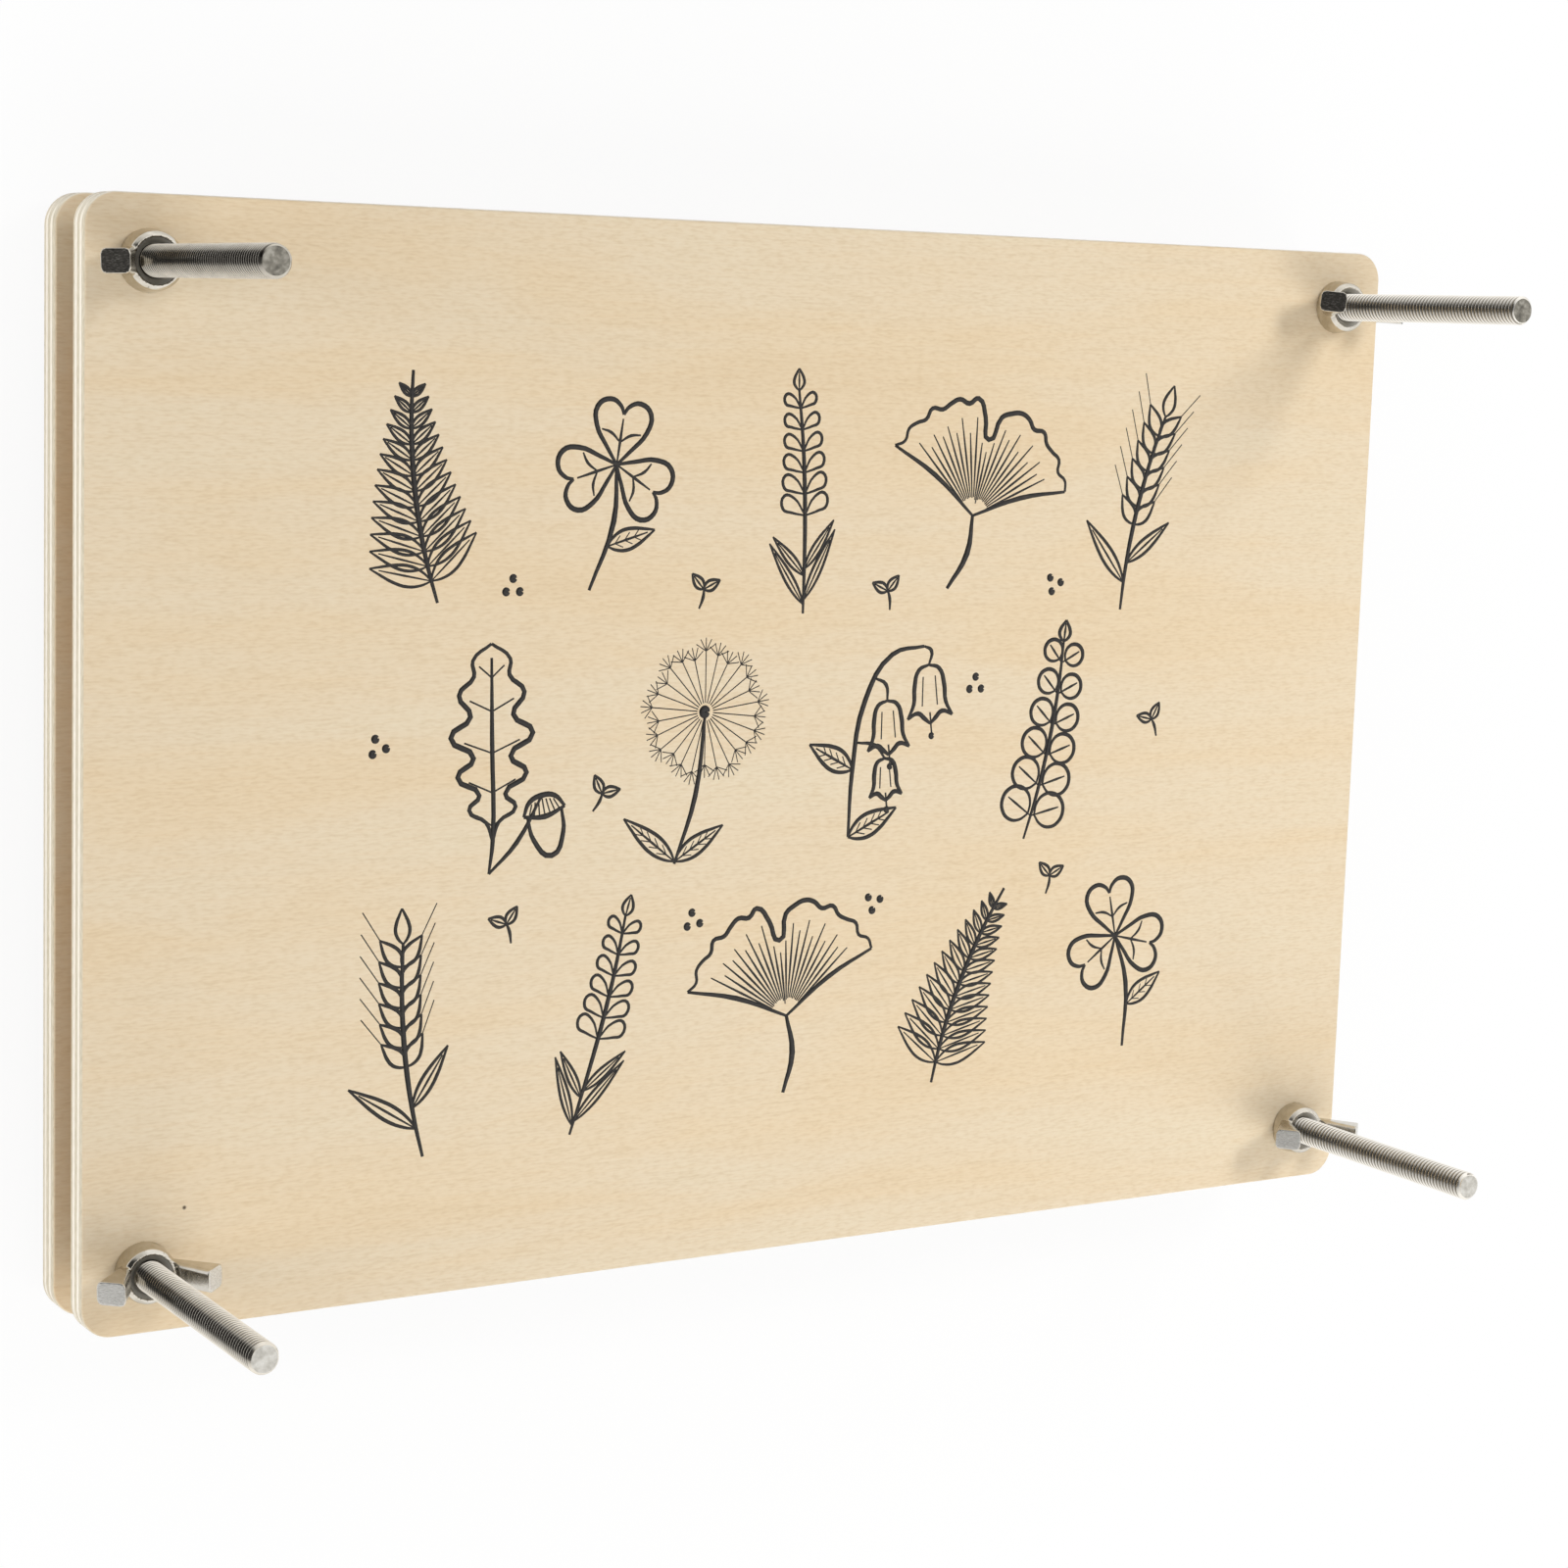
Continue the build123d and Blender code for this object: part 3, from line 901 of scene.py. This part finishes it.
def seedling():
    fork = Vector((0, 1))
    strokes = [([Vector((0, -3)), Vector((0.3, -0.6)), Vector((0, 1.4))], 0.6)]
    return strokes + leaf(fork, 145, 4.2, 2, 0.55) + leaf(fork, 40, 4.2, 2, 0.55)


def placed(strokes, x, y, turn):
    """Turns a drawing about its own middle and sets that middle at a place."""
    points = [point for line, pen in strokes for point in line]
    middle = Vector([(min(p[i] for p in points) + max(p[i] for p in points)) / 2 for i in (0, 1)])
    spin = Matrix.Rotation(math.radians(turn), 2)
    return [([spin @ (point - middle) + Vector((x, y)) for point in line], pen) for line, pen in strokes]


def inked(name, strokes):
    """Makes strokes a thin mesh of ink on the top board, each stroke a little finer at its ends."""
    drawing = bpy.data.curves.new(name, "CURVE")
    drawing.dimensions = "3D"
    drawing.bevel_depth = 1.0
    drawing.bevel_resolution = 0
    drawing.resolution_u = 4
    drawing.use_fill_caps = True
    for line, pen in strokes:
        spline = drawing.splines.new("BEZIER")
        last = len(line) - 1
        spline.bezier_points.add(last)
        for step, (knot, point) in enumerate(zip(spline.bezier_points, line)):
            knot.co = (point.x, point.y, 0)
            knot.handle_left_type = "AUTO"
            knot.handle_right_type = "AUTO"
            swell = pen_end_share + (1 - pen_end_share) * math.sin(math.pi * step / last)
            knot.radius = pen_share * pen / 2 * swell
    piece = bpy.data.objects.new(name, drawing)
    bpy.context.scene.collection.objects.link(piece)
    only(piece)
    bpy.ops.object.convert(target="MESH")
    piece = bpy.context.object
    piece.scale = (mm, mm, mm * ink_relief_share)
    piece.location.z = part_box("top_board")[1].z
    bpy.ops.object.transform_apply(location=True, rotation=True, scale=True)
    tidy_shell(piece)
    return piece


# Boards
for node, name, body, has_seats in (("base_board", "base_plywood", "base_frame", True),
                                    ("top_board", "top_plywood", "top_board", False)):
    low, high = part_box(node)
    fit_out(plywood_board(node, name, has_seats), body, "plywood", node,
            birch_plywood(f"birch_{name}", low.z, high.z))

# Print: three rows of drawings with small marks between them, each with its place in millimetres and its turn
ink = printing_ink()
rows = {
    "ink_back_row": [(fern(), -86, 52, 14), (clover(), -43, 51, -8), (lavender(), 0, 52, 6),
                     (ginkgo(), 43, 51, -12), (wheat(), 86, 52, -4),
                     (three_berries(), -64, 34, 0), (seedling(), 22, 31, 10),
                     (three_berries(), 64, 33, 40), (seedling(), -22, 32, -14)],
    "ink_middle_row": [(oak_sprig(), -65, 1, 12), (dandelion(), -22, 0, -6), (bellflower(), 22, 0, 4),
                       (eucalyptus(), 65, 1, -14),
                       (three_berries(), -92, 4, 20), (seedling(), -44, -8, -30),
                       (three_berries(), 45, 12, 0), (seedling(), 92, 2, 22)],
    "ink_front_row": [(wheat(), -86, -52, 16), (lavender(), -43, -52, -12), (ginkgo(), 0, -52, 8),
                      (fern(), 43, -52, -16), (clover(), 86, -51, 12),
                      (seedling(), -64, -33, 16), (three_berries(), -22, -34, 10),
                      (three_berries(), 21, -33, 50), (seedling(), 66, -31, -12)],
}
for name, drawings in rows.items():
    strokes = []
    for drawing in drawings:
        strokes += placed(*drawing)
    fit_out(inked(name, strokes), "top_board", "plywood", None, ink)

# Drying stack
kraft = kraft_board()
for number in range(1, 5):
    node = f"corrugated_card_{number}"
    card = corrugated_card(f"fluted_card_{number}", *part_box(node))
    fit_out(card, "base_frame", "corrugated_card", node, kraft)
cotton = cotton_blotter()
for number in range(1, 7):
    node = f"blotting_paper_{number}"
    sheet = blotter(f"blotter_{number}", *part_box(node))
    fit_out(sheet, "base_frame", "blotting_paper", node, cotton)

# Bolts and nuts. The back ones have painted shade on their ends and wing tips, and the threads are painted
# lighter or darker, with more or less painted shade in their grooves.
groove_shaded_zinc = zinc_plated_steel("zinc_plate_groove_shade", ("#D6CFC2", "#E6E0D4"), "#37332C")
shade_painted_zinc = zinc_plated_steel("zinc_plate_painted_shade", ("#B7B1A5", "#C9C3B7"), "#37332C")
light_painted_zinc = zinc_plated_steel("zinc_plate_painted_light", ("#E8E3D9", "#F2EEE6"), "#7D766A")
# Painted light and shade: each bolt takes a lighter or darker copy of the zinc plate, standing for the light
# that falls on it
thread_finishes = {"back_left": shade_painted_zinc, "back_right": light_painted_zinc,
                   "front_left": groove_shaded_zinc, "front_right": light_painted_zinc}
pale_end = sheared_zinc("sheared_zinc", ("#B5B2AA", "#CBC8C0", "#DEDCD6"))
# Painted shade: the back bolts' ends take a darker copy of the sheared zinc
shade_painted_end = sheared_zinc("sheared_zinc_painted_shade", ("#66635C", "#8A867C", "#B0ACA2"))
nickel = nickel_plate()
pale_gate = broken_gate("linished_nickel", ("#C6C3BD", "#E0DED8", "#F4F3F0"))
# Painted shade: the back nuts' wing tips take a darker copy of the linished nickel
shade_painted_gate = broken_gate("linished_nickel_painted_shade", ("#3E3C39", "#5A5752", "#8E8B85"))
bolt = threaded_bolt()
nut = wing_nut()
for corner in corners:
    axis = bolt_axis(corner)
    turn = Matrix.Rotation(math.radians(bolt_turns[corner]), 4, "Z")
    steel = copied(bolt, f"threaded_bolt_{corner}", Matrix.Identity(4))
    fit_out(steel, "base_frame", "bolt_steel", f"carriage_bolt_{corner}", thread_finishes[corner],
            shade_painted_end if corner.startswith("back") else pale_end)
    mark_thread(steel)
    steel.data.transform(Matrix.Translation((axis.x, axis.y, 0)) @ turn)
    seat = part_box(f"wing_nut_{corner}")[0].z
    turn = Matrix.Rotation(math.radians(nut_turns[corner]), 4, "Z")
    cast = copied(nut, f"cast_nut_{corner}", Matrix.Identity(4))
    fit_out(cast, f"wing_nut_{corner}", "nickel_plate", f"wing_nut_{corner}", nickel,
            shade_painted_gate if corner.startswith("back") else pale_gate)
    mark_tips(cast)
    cast.data.transform(Matrix.Translation((axis.x, axis.y, seat)) @ turn)
bpy.data.objects.remove(bolt)
bpy.data.objects.remove(nut)

# Floor: matt, pale paper that the camera and metal see fade to white
bpy.ops.object.select_all(action="DESELECT")
bpy.ops.mesh.primitive_plane_add(size=floor_size, location=(0, 0, -floor_drop))
floor = bpy.context.object
floor.name = "floor"
bpy.ops.object.transform_apply(location=True, rotation=True, scale=True)
paper, tree, shader = material("studio_paper", Roughness=0.9)
shader.inputs["Base Color"].default_value = linear("#F4F3F0")
shader.inputs["Specular IOR Level"].default_value = 0.1
ray = add(tree, "ShaderNodeLightPath")
seen = add(tree, "ShaderNodeMath", {0: ray.outputs["Is Camera Ray"], 1: ray.outputs["Is Glossy Ray"]},
           operation="MAXIMUM")
seen = add(tree, "ShaderNodeMath", {0: seen.outputs[0], 1: ray.outputs["Is Transmission Ray"]},
           operation="MAXIMUM")
here = add(tree, "ShaderNodeTexCoord").outputs["Object"]
away = add(tree, "ShaderNodeVectorMath", {0: here}, operation="LENGTH").outputs["Value"]
clear = add(tree, "ShaderNodeMapRange", {"Value": away, "From Min": shadow_near, "From Max": shadow_far,
                                         "To Min": 0.9}, interpolation_type="SMOOTHSTEP").outputs[0]
share = add(tree, "ShaderNodeMath", {0: clear, 1: seen.outputs[0]}, operation="MULTIPLY").outputs[0]
glow = add(tree, "ShaderNodeEmission", {"Color": (1, 1, 1, 1), "Strength": 1.0})
mixed = add(tree, "ShaderNodeMixShader", {0: share, 1: shader.outputs[0], 2: glow.outputs[0]})
tree.links.new(mixed.outputs[0], tree.nodes["Material Output"].inputs["Surface"])
floor.data.materials.append(paper)

# Light. Metal mirrors the room below instead of the lamps.
for place, width, height, watts in lamps:
    aim = lamp_target - Vector(place)
    bpy.ops.object.light_add(type="AREA", location=place, rotation=aim.to_track_quat("-Z", "Y").to_euler())
    lamp = bpy.context.object
    lamp.data.shape = "RECTANGLE"
    lamp.data.size = width
    lamp.data.size_y = height
    lamp.data.energy = watts
    lamp.visible_glossy = False

# World: even light from all round, while metal sees a white room that is dark on one side
world = bpy.data.worlds.new("studio")
bpy.context.scene.world = world
world.use_nodes = True
tree = world.node_tree
tree.nodes.clear()
ray = add(tree, "ShaderNodeLightPath")
direction = add(tree, "ShaderNodeTexCoord").outputs["Generated"]
turned_dark = add(tree, "ShaderNodeVectorMath", {0: direction, 1: dark_side}, operation="DOT_PRODUCT")
room = add(tree, "ShaderNodeValToRGB", {0: turned_dark.outputs["Value"]}, stops=[
    (place, (level, level, level, 1)) for place, level in room_levels])
even = (fill_level, fill_level, fill_level, 1)
fill = add(tree, "ShaderNodeMix", {0: ray.outputs["Is Glossy Ray"], 6: even, 7: room.outputs[0]},
           data_type="RGBA")
plain = add(tree, "ShaderNodeMath", {0: ray.outputs["Is Camera Ray"], 1: ray.outputs["Is Transmission Ray"]},
            operation="MAXIMUM")
sky = add(tree, "ShaderNodeMix", {0: plain.outputs[0], 6: fill.outputs[2], 7: (1, 1, 1, 1)}, data_type="RGBA")
lit = add(tree, "ShaderNodeBackground", {"Color": sky.outputs[2], "Strength": 1.0})
add(tree, "ShaderNodeOutputWorld", {"Surface": lit.outputs[0]})

# Camera
rightward = camera_sight.cross(camera_upright)
turned = Matrix((rightward, camera_upright, -camera_sight)).transposed()
bpy.ops.object.camera_add(location=camera_place, rotation=turned.to_euler())
camera = bpy.context.object
camera.data.lens = camera_lens
camera.data.sensor_width = camera_sensor
camera.data.clip_start = camera_near
bpy.context.scene.camera = camera
bpy.context.scene.view_settings.view_transform = "Standard"
